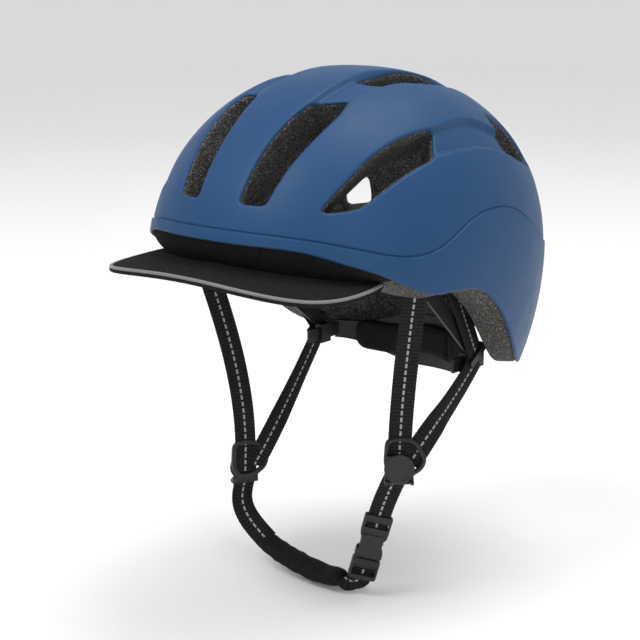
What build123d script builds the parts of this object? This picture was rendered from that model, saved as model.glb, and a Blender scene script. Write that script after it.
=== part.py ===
from build123d import *
from math import cos, radians, sin
import os

os.makedirs("parts", exist_ok=True)

# Vented city bicycle helmet. Millimetres, +Z up, front towards -Y, wearer's left towards +X.
# The origin is the centre of the wearer's head, on the symmetry plane.

# outer shell: half width, front reach, rear reach, crown height, skirt depth, roundness
HALF_WIDTH = 110.0
FRONT = 138.0
REAR = 147.0
CROWN = 120.0
SKIRT = 160.0
ROUND = 2.3
SKIN = 1.2
PROUD = 0.8
SEAT = 0.3
# head bowl inside the liner
BOWL = (81.0, 110.0, 118.0, 92.0, 420.0)
LIP = 11.0
# retention cradle
CRADLE_R = 80.0
CRADLE_T = 3.0
CRADLE_Y = 14.0
DIAL_Z = -87.0
KNOB_R = 13.0
SPINDLE_R = 3.0
RUNNING = 0.05
# harness
WEB_W = 15.0
WEB_T = 1.5
STRAP_GAP = 0.4
BUCKLE_W = 19.0
BUCKLE_T = 8.0
# visor
BRIM_Z = 9.0
BRIM_SLOPE = 0.04
BRIM_ARCH = 0.0012
BRIM_T = 1.6
FABRIC_T = 1.0

# side profiles (front to back, height) of the shell rim, the liner lip and the belt step
RIM = [(-170, 26), (-131, 26), (-120, 24), (-104, 17), (-85, 9), (-70, 1), (-57, -5), (-40, -6.5),
       (-16, -8), (2, -16), (18, -30), (36, -50), (54, -67), (74, -77), (96, -76), (130, -62), (170, -54)]
LIP_EDGE = [(-170, 16), (-131, 16), (-112, 13.5), (-96, 10.5), (-85, 6.5), (-70, -2), (-57, -8.5),
            (-40, -10), (-16, -11.5), (2, -19.5), (18, -33), (36, -52), (54, -69), (74, -79), (96, -78),
            (130, -64), (170, -56)]
BELT = [(-170, 34), (-132, 33.5), (-106, 28), (-86, 22), (-66, 18.5), (-50, 20), (-36, 25), (-19, 33),
        (0, 37.5), (22, 37), (44, 30), (69, 15), (91, 5), (115, 0), (140, -2), (170, -2)]

# vent corners on the outer shell: (degrees from the front over the crown, degrees to the side)
VENTS = {
    "front_inner": [(22, 7.5), (34, 8), (46, 9), (57, 11), (63, 18.5), (56, 20), (44, 18.5), (33, 16), (22.5, 14)],
    "front_outer": [(24, 29), (34, 32.5), (47, 35.5), (62, 39), (75, 42), (65, 48), (52, 45.5), (40, 42), (28, 37.5)],
    "crown": [(78, 13), (92, 12.5), (108, 12.5), (118, 14.5), (114, 21.5), (103, 23.5), (90, 22.5), (81, 18.5)],
    "side": [(119, 35), (124, 42.5), (131, 45), (140, 43), (149, 38), (150, 32), (138, 32), (128, 33)],
    "rear_inner": [(140, 11), (154, 11), (166, 12.5), (166, 19), (154, 21.5), (141, 21.5)],
    "rear_outer": [(158, 31), (170, 30.5), (178, 33), (178, 42), (169, 42), (158, 39)],
}
VENT_CORNER = 3.0


def superdome(a, bf, br, ct, cb):
    """Closed egg: superelliptic across, four ellipse quarters in side view."""
    unit = 100.0
    steps = [1 - (1 - i / 9) ** 1.6 for i in range(9)] + [0.9996]
    half = [(a * s, unit * (1 - s ** ROUND) ** (1 / ROUND)) for s in steps]
    full = [(-x, y) for x, y in reversed(half)] + half[1:]
    chord = Polyline(full[-1], (full[-1][0], 0), (full[0][0], 0), full[0])
    face = make_face([Spline(*full), chord])
    body = None
    for turn, (b, c) in enumerate(((br, ct), (bf, ct), (bf, cb), (br, cb))):
        wedge = revolve(Rot(90 * turn, 0, 0) * face, Axis.X, 90)
        wedge = scale(wedge, by=(1, b / unit, c / unit))
        body = wedge if body is None else body + wedge
    return body


def dome(inset):
    return superdome(HALF_WIDTH - inset, FRONT - inset, REAR - inset, CROWN - inset, SKIRT - inset)


def bowl(inset):
    return superdome(*(size - inset for size in BOWL))


def above(profile, drop=0.0):
    """Everything over a side profile, as wide as the helmet."""
    points = [(y, z - drop) for y, z in profile]
    top = Polyline(points[-1], (170, 200), (-170, 200), points[0])
    face = make_face([Spline(*points), top])
    return extrude(Plane.YZ * face, 140, both=True)


def spot(over, side):
    """Point of the outer shell in a direction."""
    t, s = radians(over), radians(side)
    d = Vector(sin(s), -cos(s) * cos(t), cos(s) * sin(t))
    b = FRONT if d.Y < 0 else REAR
    c = CROWN if d.Z > 0 else SKIRT
    r = ((d.Y / b) ** 2 + (d.Z / c) ** 2) ** 0.5
    return d * (1 / ((abs(d.X) / HALF_WIDTH) ** ROUND + r ** ROUND) ** (1 / ROUND))


def vent(corners):
    points = [spot(*c) for c in corners]
    mid = sum(points, Vector(0, 0, 0)) * (1 / len(points))
    plane = Plane(mid, z_dir=mid)
    flat = [plane.to_local_coords(p) for p in points]
    face = make_face(Polyline(*[(p.X, p.Y) for p in flat], close=True))
    face = fillet(face.vertices(), VENT_CORNER)
    return extrude(plane * face, 45, both=True)


def bar(start, end, normal, width, thick):
    """Flat strip from start to end, its broad face towards normal."""
    run = end - start
    plane = Plane(start, x_dir=normal.cross(run), z_dir=run)
    return plane * Box(width, thick, run.length, align=(Align.CENTER, Align.CENTER, Align.MIN))


def block(x0, x1, y0, y1, z0, z1):
    return Pos((x0 + x1) / 2, (y0 + y1) / 2, (z0 + z1) / 2) * Box(x1 - x0, y1 - y0, z1 - z0)


def other_side(shape):
    return mirror(shape, about=Plane.YZ)


def save(shape, name):
    parts = shape.solids() if hasattr(shape, "solids") else [shape]
    shape = parts[0] if len(parts) == 1 else Compound(children=list(parts))
    export_step(shape, f"parts/{name}.step")


# ---------------------------------------------------------------- shell and liner
left_vents = [vent(v) for v in VENTS.values()]
vents = left_vents + [other_side(v) for v in left_vents]
over_rim = above(RIM)
over_belt_top = above(BELT, -SEAT / 2)
over_belt_low = above(BELT, SEAT / 2)
inner_skin = dome(SKIN)

upper = (dome(0) - inner_skin) & over_belt_top
lower = ((dome(-PROUD) - inner_skin) & over_rim) - over_belt_low
for cut in vents:
    upper -= cut
    lower -= cut
save(upper, "upper_shell")
save(lower, "lower_shell")

# front webbing leaves the liner through a slot on each side
FRONT_EXIT = Vector(88, -46.5, -10)
LEFT_DIVIDER = Vector(70, -31, -121)
RIGHT_DIVIDER = Vector(-67, -26, -153)
LEFT_FACE = Vector(0.65, -0.76, 0).normalized()
RIGHT_FACE = Vector(-0.88, 0.47, 0).normalized()


def divider_plane(center, face):
    return Plane(center, x_dir=Vector(0, 0, 1).cross(face), z_dir=face)


LEFT_PLANE = divider_plane(LEFT_DIVIDER, LEFT_FACE)
RIGHT_PLANE = divider_plane(RIGHT_DIVIDER, RIGHT_FACE)
left_front_low = LEFT_PLANE.from_local_coords(Vector(-3, 12, 0))
right_front_low = RIGHT_PLANE.from_local_coords(Vector(3, 12, 0))
right_exit = Vector(-FRONT_EXIT.X, FRONT_EXIT.Y - 2.5, FRONT_EXIT.Z)
left_front_top = FRONT_EXIT + (FRONT_EXIT - left_front_low).normalized() * 17
right_front_top = right_exit + (right_exit - right_front_low).normalized() * 17

liner = (dome(SKIN + SEAT) & over_rim) + (dome(SKIN + LIP) & above(LIP_EDGE))
liner -= bowl(0)
for cut in vents:
    liner -= cut
for top, low, face in ((left_front_top, left_front_low, LEFT_FACE), (right_front_top, right_front_low, RIGHT_FACE)):
    end = top + (top - low).normalized() * 1
    liner -= bar(low, end, face, WEB_W + 2 * STRAP_GAP, WEB_T + 2 * STRAP_GAP)
PEG = Vector(75.8, -34, 2)
PEG_R = 2.2
for side in (1, -1):
    liner -= Pos(side * 84, PEG.Y, PEG.Z) * Rot(0, 90, 0) * Cylinder(PEG_R + 0.2, 16)
save(liner, "eps_liner")

# ---------------------------------------------------------------- visor
OUTER_EDGE = [(84, -88), (87, -99), (88, -113), (86, -126), (80, -137), (68, -147), (50, -154), (22, -157.6)]
INNER_EDGE = [(48, -92.4), (25, -105), (0, -109), (-25, -105), (-48, -92.4)]
edge = OUTER_EDGE + [(0, -158)] + [(-x, y) for x, y in reversed(OUTER_EDGE)]


def brim_outline(inset, back):
    """Plan of the brim, drawn in from the piping line and back from the tuck band."""
    outer = [(x * (1 - inset / 88), -110 + (y + 110) * (1 - inset / 48)) for x, y in edge]
    inner = [(x, y - back) for x, y in INNER_EDGE]
    sides = [Line(outer[-1], inner[-1]), Line(inner[0], outer[0])]
    return make_face([Spline(*outer), Spline(*reversed(inner)), *sides])


def brim_height(x, y):
    return BRIM_Z + BRIM_SLOPE * (y + 120) - BRIM_ARCH * x * x


def brim(low, high, face):
    """Arched, slightly falling sheet between two offsets from the brim surface, cut to a plan outline."""
    half, back = 96, -60
    tops = []
    for offset in (low, high):
        crown = brim_height(0, back) + offset
        sag = crown - BRIM_ARCH * half * half
        tops.append(ThreePointArc((-half, sag), (0, crown), (half, sag)))
    ends = [Line(tops[0] @ i, tops[1] @ i) for i in (0, 1)]
    slant = Plane((0, back, 0), x_dir=(1, 0, 0), z_dir=(0, -1, -BRIM_SLOPE))
    sheet = extrude(slant * make_face([*tops, *ends]), 115)
    return sheet & extrude(face, 60, both=True)


fabric_face = brim_outline(1.9, 1.4)
board_face = brim_outline(4, 0)
board = brim(-BRIM_T / 2, BRIM_T / 2, board_face)
tuck = (bowl(0.4) - bowl(1.4)) & block(-50, 50, -120, -60, 6, 32)
save(board + tuck, "visor_board")
skin_gap = 0.2
save(brim(BRIM_T / 2 + skin_gap, BRIM_T / 2 + skin_gap + FABRIC_T, fabric_face), "visor_fabric_top")
save(brim(-BRIM_T / 2 - skin_gap - FABRIC_T, -BRIM_T / 2 - skin_gap, fabric_face), "visor_fabric_bottom")
piping_path = Spline(*[(x, y, brim_height(x, y)) for x, y in edge])
save(sweep(Plane(piping_path @ 0, z_dir=piping_path % 0) * Circle(1.5), piping_path), "visor_piping")

# ---------------------------------------------------------------- comfort pads
PAD_T = 5.0
brow = (bowl(1.9) - bowl(1.9 + PAD_T)) & block(-56, 56, -120, -50, 20, 35)
save(brow, "brow_pad")
pad_layer = bowl(0.4) - bowl(0.4 + PAD_T)
save(pad_layer & block(-9, 9, -62, 66, 30, 100), "crown_pad")
side_pad = pad_layer & block(36, 48, -40, 52, 40, 100)
save(side_pad, "side_pad_left")
save(other_side(side_pad), "side_pad_right")

# ---------------------------------------------------------------- retention cradle
CRADLE_TOP = [(-63, -69), (-45, -70), (-24, -65), (0, -62), (24, -65), (45, -70), (63, -69)]
CRADLE_LOW = [(63, -82), (45, -88), (24, -97), (0, -99), (-24, -97), (-45, -88), (-63, -82)]
cradle_face = make_face([Spline(*CRADLE_TOP), Line(CRADLE_TOP[-1], CRADLE_LOW[0]), Spline(*CRADLE_LOW),
                         Line(CRADLE_LOW[-1], CRADLE_TOP[0])])


def around(r0, r1, z0, z1):
    ring = Cylinder(r1, z1 - z0) - Cylinder(r0, z1 - z0)
    return Pos(0, CRADLE_Y, (z0 + z1) / 2) * ring


TAB_X = 62.0
TAB_T = 2.0
TAB_Z = (-80.0, -71.0)
SLEEVE_Y = (44.0, 54.0)
cradle = around(CRADLE_R, CRADLE_R + CRADLE_T, -105, -55) & extrude(Plane.XZ * cradle_face, -120)
for side in (1, -1):
    cradle += block(side * TAB_X - TAB_T / 2, side * TAB_X + TAB_T / 2, 32, 67.5, *TAB_Z)
for x in (-40, 40):
    cradle -= Pos(x, 80, -78) * Rot(90, 0, 0) * Cylinder(4, 60)
save(cradle, "cradle")
pad_angle = around(CRADLE_R - 5, CRADLE_R - SEAT, -93, -69) & block(-58, 58, 56, 110, -93, -69)
save(pad_angle, "cradle_pad")

back = CRADLE_Y + CRADLE_R + CRADLE_T
hub = Plane(Vector(0, back, DIAL_Z), x_dir=(1, 0, 0), z_dir=(0, 1, 0))
housing = block(-24, 24, back - 7, back + 6, DIAL_Z - 14, DIAL_Z + 14)
housing = fillet(housing.edges().filter_by(Axis.Y), 6)
housing -= Pos(0, CRADLE_Y, DIAL_Z) * Cylinder(CRADLE_R + CRADLE_T + SEAT, 60)
housing -= hub * Cylinder(SPINDLE_R + RUNNING, 40)
save(housing, "dial_housing")
knob = hub * Pos(0, 0, 6.5) * Cylinder(KNOB_R, 8, align=(Align.CENTER, Align.CENTER, Align.MIN))
knob = chamfer(knob.edges().filter_by(GeomType.CIRCLE).sort_by(Axis.Y)[-1], 1.5)
for i in range(15):
    knob -= hub * Rot(0, 0, 24 * i) * Pos(KNOB_R + 0.6, 0, 10) * Cylinder(1.6, 12)
knob += hub * Pos(0, 0, 1) * Cylinder(SPINDLE_R, 6, align=(Align.CENTER, Align.CENTER, Align.MIN))
save(knob, "dial_knob")

hanger = bar(Vector(0, back - 1.5, -63.5), Vector(0, back + 1.5, -28), Vector(0, 1, 0), 14, 1.6)
for i in range(4):
    hanger -= Pos(0, back, -54 + 7 * i) * Box(8, 8, 2.5)
hanger -= Pos(0, CRADLE_Y, -80) * Cylinder(CRADLE_R + CRADLE_T + SEAT, 37)
save(hanger, "height_hanger")
save(block(-9, 9, 111, 125, -34, -20) & bowl(SEAT), "rear_anchor")

arm = bar(PEG, Vector(TAB_X + 3.2, 49, -67), Vector(1, 0, 0), 10, 1.8)
arm += Pos(*PEG) * Rot(0, 90, 0) * Cylinder(6, 1.8)
arm += block(TAB_X - 2.8, TAB_X + 3.4, *SLEEVE_Y, TAB_Z[0] - 2.2, TAB_Z[1] + 2.2)
arm -= block(TAB_X - TAB_T / 2 - SEAT, TAB_X + TAB_T / 2 + SEAT, 40, 60, TAB_Z[0] - SEAT, TAB_Z[1] + SEAT)
arm -= Pos(*PEG) * Rot(0, 90, 0) * Cylinder(PEG_R + 0.2, 20)
peg = Pos(PEG.X - 2.6, PEG.Y, PEG.Z) * Rot(0, 90, 0) * Cylinder(4.5, 2.2)
peg += Pos(PEG.X + 5, PEG.Y, PEG.Z) * Rot(0, 90, 0) * Cylinder(PEG_R, 16)
# webbing guide outside each arm end, around the rear strap
GUIDE = Vector(TAB_X + 6.2, 50, -70)
REAR_TOP = Vector(75.5, 10, -12)
guide_run = (GUIDE - REAR_TOP).normalized()
guide = bar(GUIDE - guide_run * 2.5, GUIDE + guide_run * 2.5, Vector(1, 0, 0), WEB_W + 5, 5)
guide -= bar(GUIDE - guide_run * 20, GUIDE + guide_run * 20, Vector(1, 0, 0), WEB_W + 2 * STRAP_GAP, WEB_T + 2 * STRAP_GAP)
guide -= block(0, TAB_X + 4.1 + SEAT, 0, 100, -120, 0)
for side, name in ((1, "left"), (-1, "right")):
    flip = (lambda s: s) if side == 1 else other_side
    save(flip(arm), f"arm_{name}")
    save(flip(peg), f"temple_peg_{name}")
    save(flip(guide), f"strap_guide_{name}")

# ---------------------------------------------------------------- dividers
DIVIDER = [(-12.5, 13), (-3, 15.5), (8, 12.5), (14.5, 0), (12, -7), (-1, -15.8), (-8, -15), (-13.5, -5)]
DISC_X = -3.4
DISC_Y = -5.6
DISC_R = 9.8
HINGE_Y = -15.0
HINGE_Z = 3.3
PIN_R = 0.7


def divider(side):
    face = make_face(Polyline(*[(side * x, y) for x, y in DIVIDER], close=True))
    face = fillet(face.vertices(), 4)
    opening = offset(face, -3.2) & (Pos(0, 10) * Rectangle(40, 20))
    body = extrude(face - opening, 2) + extrude(face - opening, -1.5)
    body += Pos(side * DISC_X, HINGE_Y + 1.2, 0.25) * Box(18.8, 5, 3.5)
    for x in (DISC_X - 8.2, DISC_X + 8.2):
        body += Pos(side * x, HINGE_Y, 3.1) * Box(2.4, 2.6, 3.2)
    body -= Pos(side * DISC_X, HINGE_Y, HINGE_Z) * Rot(0, 90, 0) * Cylinder(PIN_R + RUNNING, 30)
    return body


def lock(side):
    disc = Pos(side * DISC_X, DISC_Y, 3.6) * Cylinder(DISC_R, 2.6)
    disc = fillet(disc.edges().filter_by(GeomType.CIRCLE).sort_by(Axis.Z)[-1], 0.8)
    disc &= Pos(0, 10) * Box(60, 46.6, 20)
    disc += Pos(side * DISC_X, HINGE_Y + 0.9, HINGE_Z) * Box(11, 2.2, 1.6)
    disc += Pos(side * DISC_X, HINGE_Y, HINGE_Z) * Rot(0, 90, 0) * Cylinder(0.9, 13.4)
    return disc + Pos(side * DISC_X, HINGE_Y, HINGE_Z) * Rot(0, 90, 0) * Cylinder(PIN_R, 17.6)


def near(plane, side):
    """Room kept free around a divider, for trimming webbing that meets it."""
    face = make_face(Polyline(*[(side * x, y) for x, y in DIVIDER], close=True))
    room = extrude(offset(fillet(face.vertices(), 4), STRAP_GAP), 12)
    room += Pos(side * DISC_X, HINGE_Y + 1.2, 6) * Box(18.8 + 2 * STRAP_GAP, 5 + 2 * STRAP_GAP, 12)
    return plane * Pos(0, 0, -4) * room


left_room = near(LEFT_PLANE, 1)
right_room = near(RIGHT_PLANE, -1)
save(LEFT_PLANE * divider(1), "divider_left")
save(LEFT_PLANE * lock(1), "lock_left")
save(RIGHT_PLANE * divider(-1), "divider_right")
save(RIGHT_PLANE * lock(-1), "lock_right")

# ---------------------------------------------------------------- webbing
left_front = bar(left_front_top, left_front_low, LEFT_FACE, WEB_W, WEB_T) - left_room
right_front = bar(right_front_top, right_front_low, RIGHT_FACE, WEB_W, WEB_T) - right_room
save(left_front, "front_strap_left")
save(right_front, "front_strap_right")

rear_upper = bar(REAR_TOP, GUIDE + guide_run * 3.5, Vector(1, 0, 0), WEB_W, WEB_T)
save(rear_upper, "rear_strap_upper_left")
save(other_side(rear_upper), "rear_strap_upper_right")
anchor = block(60, 90, 4, 16, -13, -3) & bowl(SEAT)
anchor -= bar(REAR_TOP - guide_run * 10, GUIDE, Vector(1, 0, 0), WEB_W + 0.4, WEB_T + 0.4)
anchor = anchor.solids().sort_by(Axis.X)[-1]
save(anchor, "rear_strap_anchor_left")
save(other_side(anchor), "rear_strap_anchor_right")

for name, plane, side, room, face in (("left", LEFT_PLANE, 1, left_room, Vector(0.95, -0.3, 0)),
                                      ("right", RIGHT_PLANE, -1, right_room, Vector(-1, 0.1, 0))):
    run = Vector(side * guide_run.X, guide_run.Y, guide_run.Z)
    start = Vector(side * GUIDE.X, GUIDE.Y, GUIDE.Z) + run * 2
    taken = bar(start - run * 30, start + run * 2.2, Vector(1, 0, 0), WEB_W + 8, 14)
    goal = plane.from_local_coords(Vector(side * 8, 6, 0))
    strap = bar(start, goal, face, WEB_W, WEB_T) - room - taken
    save(strap.solids().sort_by(SortBy.VOLUME)[-1], f"rear_strap_lower_{name}")

# ---------------------------------------------------------------- buckle
BUCKLE = Vector(41, -28, -189)
DOWN = Vector(-0.30, 0, -0.954).normalized()
FACE = (LEFT_FACE - DOWN * LEFT_FACE.dot(DOWN)).normalized()
BUCKLE_PLANE = Plane(BUCKLE, x_dir=(DOWN * -1).cross(FACE), z_dir=FACE)
half_w = BUCKLE_W / 2
half_t = BUCKLE_T / 2

female = block(-half_w, half_w, -8, 12, -half_t, half_t)
female = fillet(female.edges().filter_by(Axis.Y), 2.4)
female += block(-half_w, half_w, 11, 25, -2.6, 2.6)
female -= block(-8, 8, 15.5, 20, -9, 9)
female -= block(-8, 8, -9, 9, -2.4, 2.4)
for x in (-half_w - 2.2, half_w + 2.2):
    female -= Pos(x, 3.5, 0) * Cylinder(5.2, 20)
save(BUCKLE_PLANE * female, "buckle_female")

male = block(-half_w, half_w, -25, -8.4, -half_t, half_t)
male = fillet(male.edges().filter_by(Axis.Y), 2.4)
male -= block(-8, 8, -21, -16.5, -9, 9)
male -= block(-8, 8, -16.6, -12.5, 1.4, 9)
male += block(-1.9, 1.9, -9, 7, -1.9, 1.9)
for side in (1, -1):
    male += block(side * 6.4 - 1.1, side * 6.4 + 1.1, -9, 5, -2.0, 2.0)
    male += Pos(side * 5.7, 5, 0) * Cylinder(1.9, 4)
save(BUCKLE_PLANE * male, "buckle_male")

lower_top = LEFT_PLANE.from_local_coords(Vector(-4, -10, 0))
lower_end = BUCKLE_PLANE.from_local_coords(Vector(0, 26, 0))
lower = bar(lower_end, lower_top, LEFT_FACE, WEB_W, WEB_T) - left_room
save(lower.solids().sort_by(Axis.Z)[0], "lower_strap_left")

# ---------------------------------------------------------------- chin strap and pad
PAD_PATH = [(19, -28, -217), (2, -28, -219), (-20, -28, -216.5), (-38, -28, -212.5), (-51, -28, -207)]
pad_path = Spline(*PAD_PATH)
pad_end = Plane(pad_path @ 0, x_dir=(0, 1, 0), z_dir=pad_path % 0)
save(sweep(pad_end * Ellipse(9.5, 6.5), pad_path), "chin_pad")
web_start = BUCKLE_PLANE.from_local_coords(Vector(0, -26.3, 0))
save(bar(web_start, Vector(19.6, -28, -217), Vector(0, 0, 1), WEB_W, WEB_T), "chin_web")
right_end = pad_path @ 1 + (pad_path % 1) * 3.4
right_top = RIGHT_PLANE.from_local_coords(Vector(4, -10, 0))
right_lower = bar(right_end, right_top, RIGHT_FACE, WEB_W, WEB_T) - right_room
for drop in (2, 4, 6, 9):
    right_lower -= Pos(*(DOWN * -drop)) * right_room
save(right_lower.solids().sort_by(Axis.Z)[0], "lower_strap_right")
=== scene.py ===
import math

import bpy
import numpy as np
from mathutils import Matrix, Vector


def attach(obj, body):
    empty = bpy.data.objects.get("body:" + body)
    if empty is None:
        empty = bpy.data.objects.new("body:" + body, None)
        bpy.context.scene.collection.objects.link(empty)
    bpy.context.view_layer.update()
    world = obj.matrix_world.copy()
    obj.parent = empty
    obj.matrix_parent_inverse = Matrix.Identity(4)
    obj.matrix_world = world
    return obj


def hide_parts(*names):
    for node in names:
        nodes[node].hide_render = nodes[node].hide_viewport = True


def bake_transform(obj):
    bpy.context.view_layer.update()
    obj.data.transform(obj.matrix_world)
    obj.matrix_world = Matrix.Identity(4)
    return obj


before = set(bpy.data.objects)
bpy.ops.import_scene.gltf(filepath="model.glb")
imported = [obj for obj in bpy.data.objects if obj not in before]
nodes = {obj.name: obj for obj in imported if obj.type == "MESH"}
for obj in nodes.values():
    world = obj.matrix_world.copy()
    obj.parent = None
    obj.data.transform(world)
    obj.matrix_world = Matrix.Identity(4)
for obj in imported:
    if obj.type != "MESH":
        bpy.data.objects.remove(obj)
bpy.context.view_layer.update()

# Everything below is worked out in millimetres and made in metres. Front is -Y, wearer's left +X.
MM = 0.001

# ------------------------------------------------------------------ numbers shared with the CAD part
SHELL = (110.0, 138.0, 147.0, 120.0, 160.0)
BOWL = (81.0, 110.0, 118.0, 92.0, 420.0)
ROUND = 2.3
RIM = [(-170, 26), (-131, 26), (-120, 24), (-104, 17), (-85, 9), (-70, 1), (-57, -5), (-40, -6.5),
       (-16, -8), (2, -16), (18, -30), (36, -50), (54, -67), (74, -77), (96, -76), (130, -62), (170, -54)]
LIP_EDGE = [(-170, 16), (-131, 16), (-112, 13.5), (-96, 10.5), (-85, 6.5), (-70, -2), (-57, -8.5),
            (-40, -10), (-16, -11.5), (2, -19.5), (18, -33), (36, -52), (54, -69), (74, -79), (96, -78),
            (130, -64), (170, -56)]
BELT = [(-170, 34), (-132, 33.5), (-106, 28), (-86, 22), (-66, 18.5), (-50, 20), (-36, 25), (-19, 33),
        (0, 37.5), (22, 37), (44, 30), (69, 15), (91, 5), (115, 0), (140, -2), (170, -2)]
VENTS = [
    [(22, 7.5), (34, 8), (46, 9), (57, 11), (63, 18.5), (56, 20), (44, 18.5), (33, 16), (22.5, 14)],
    [(24, 29), (34, 32.5), (47, 35.5), (62, 39), (75, 42), (65, 48), (52, 45.5), (40, 42), (28, 37.5)],
    [(78, 13), (92, 12.5), (108, 12.5), (118, 14.5), (114, 21.5), (103, 23.5), (90, 22.5), (81, 18.5)],
    [(119, 35), (124, 42.5), (131, 45), (140, 43), (149, 38), (150, 32), (138, 32), (128, 33)],
    [(140, 11), (154, 11), (166, 12.5), (166, 19), (154, 21.5), (141, 21.5)],
    [(158, 31), (170, 30.5), (178, 33), (178, 42), (169, 42), (158, 39)],
]
REAR_DUCT = [(161, 30.5), (168, 30.5), (175, 31.5), (175, 38.5), (168, 38.8), (161, 38)]
WEB_W, WEB_T = 15.0, 1.5
RIB_PITCH = 2.6


# ------------------------------------------------------------------ small field toolkit
def smax(a, b, k):
    h = np.maximum(k - np.abs(a - b), 0) / k
    return np.maximum(a, b) + h * h * k * 0.25


def smin(a, b, k):
    return -smax(-a, -b, k)


def ease(low, high, v):
    t = np.clip((v - low) / (high - low), 0, 1)
    return t * t * (3 - 2 * t)


def unit(v):
    v = np.asarray(v, float)
    return v / np.linalg.norm(v)


def curve(points):
    """Smooth curve through (x, y) points, returned as a function of x."""
    x, y = np.array(points, float).T
    n, h = len(x), np.diff(x)
    a, r = np.eye(n), np.zeros(n)
    for i in range(1, n - 1):
        a[i, i - 1:i + 2] = h[i - 1], 2 * (h[i - 1] + h[i]), h[i]
        r[i] = 6 * ((y[i + 1] - y[i]) / h[i] - (y[i] - y[i - 1]) / h[i - 1])
    m = np.linalg.solve(a, r)

    def value(q):
        q = np.clip(q, x[0], x[-1])
        i = np.clip(np.searchsorted(x, q) - 1, 0, n - 2)
        u, w, s = x[i + 1] - q, q - x[i], h[i]
        bend = (m[i] * u ** 3 + m[i + 1] * w ** 3) / (6 * s)
        return bend + (y[i] / s - m[i] * s / 6) * u + (y[i + 1] / s - m[i + 1] * s / 6) * w

    return value


def profile(points):
    """Side-view height line: (height, slope factor) at any y."""
    line, grid = curve(points), np.linspace(-170, 170, 1361)
    z = line(grid)
    lean = 1 / np.sqrt(1 + np.gradient(z, grid) ** 2)
    return lambda y: (np.interp(y, grid, z), np.interp(y, grid, lean))


rim, lip, belt = profile(RIM), profile(LIP_EDGE), profile(BELT)


def dome(p, size):
    """Signed distance, near enough, from the rounded egg of the given half sizes."""
    a, bf, br, ct, cb = size
    b, c = np.where(p[:, 1] < 0, bf, br), np.where(p[:, 2] > 0, ct, cb)
    x, y, z = np.abs(p[:, 0]) / a, p[:, 1] / b, p[:, 2] / c
    r = np.sqrt(y * y + z * z) + 1e-9
    f = (x ** ROUND + r ** ROUND) ** (1 / ROUND)
    gx, gr = (x / f) ** (ROUND - 1) / a, (r / f) ** (ROUND - 1) / r
    return (f - 1) / np.sqrt(gx ** 2 + (gr * y / b) ** 2 + (gr * z / c) ** 2)


def spot(over, side):
    """Point of the outer shell: degrees from the front over the crown, degrees to the side."""
    t, s = math.radians(over), math.radians(side)
    d = np.array([math.sin(s), -math.cos(s) * math.cos(t), math.cos(s) * math.sin(t)])
    b = SHELL[1] if d[1] < 0 else SHELL[2]
    c = SHELL[3] if d[2] > 0 else SHELL[4]
    r = math.hypot(d[1] / b, d[2] / c)
    return d / ((d[0] / SHELL[0]) ** ROUND + r ** ROUND) ** (1 / ROUND)


def rounded(poly, tight, soft=0.45):
    """Polygon with its sharp corners cut to a small arc and its gentle ones eased right out."""
    p, out = np.array(poly, float), []
    for i in range(len(p)):
        a, b, c = p[i - 1], p[i], p[(i + 1) % len(p)]
        la, lc = np.linalg.norm(a - b), np.linalg.norm(c - b)
        ua, uc = (a - b) / la, (c - b) / lc
        turn = math.degrees(math.acos(np.clip(-ua @ uc, -1, 1)))
        cut = soft * min(la, lc) if turn < 38 else min(tight, 0.45 * min(la, lc))
        start, end = b + ua * cut, b + uc * cut
        for t in (0, 0.25, 0.5, 0.75, 1):
            out.append((1 - t) ** 2 * start + 2 * t * (1 - t) * b + t * t * end)
    return np.array(out)


def polygon(u, v, poly):
    """Signed distance to a closed polygon in its plane."""
    best, inside = np.full(u.shape, 1e9), np.zeros(u.shape, bool)
    for a, b in zip(poly, np.roll(poly, -1, 0)):
        e, du, dv = b - a, u - a[0], v - a[1]
        t = np.clip((du * e[0] + dv * e[1]) / max(e @ e, 1e-9), 0, 1)
        best = np.minimum(best, (du - e[0] * t) ** 2 + (dv - e[1] * t) ** 2)
        crosses = (a[1] > v) != (b[1] > v)
        if e[1]:
            inside ^= crosses & (u < a[0] + e[0] * (v - a[1]) / e[1])
    return np.where(inside, -1, 1) * np.sqrt(best)


CELL = [((i >> 2) & 1, (i >> 1) & 1, i & 1) for i in range(8)]
CELL_EDGES = [(a, b) for a in CELL for b in CELL
              if sum(b) == sum(a) + 1 and sum(abs(i - j) for i, j in zip(a, b)) == 1]


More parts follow.
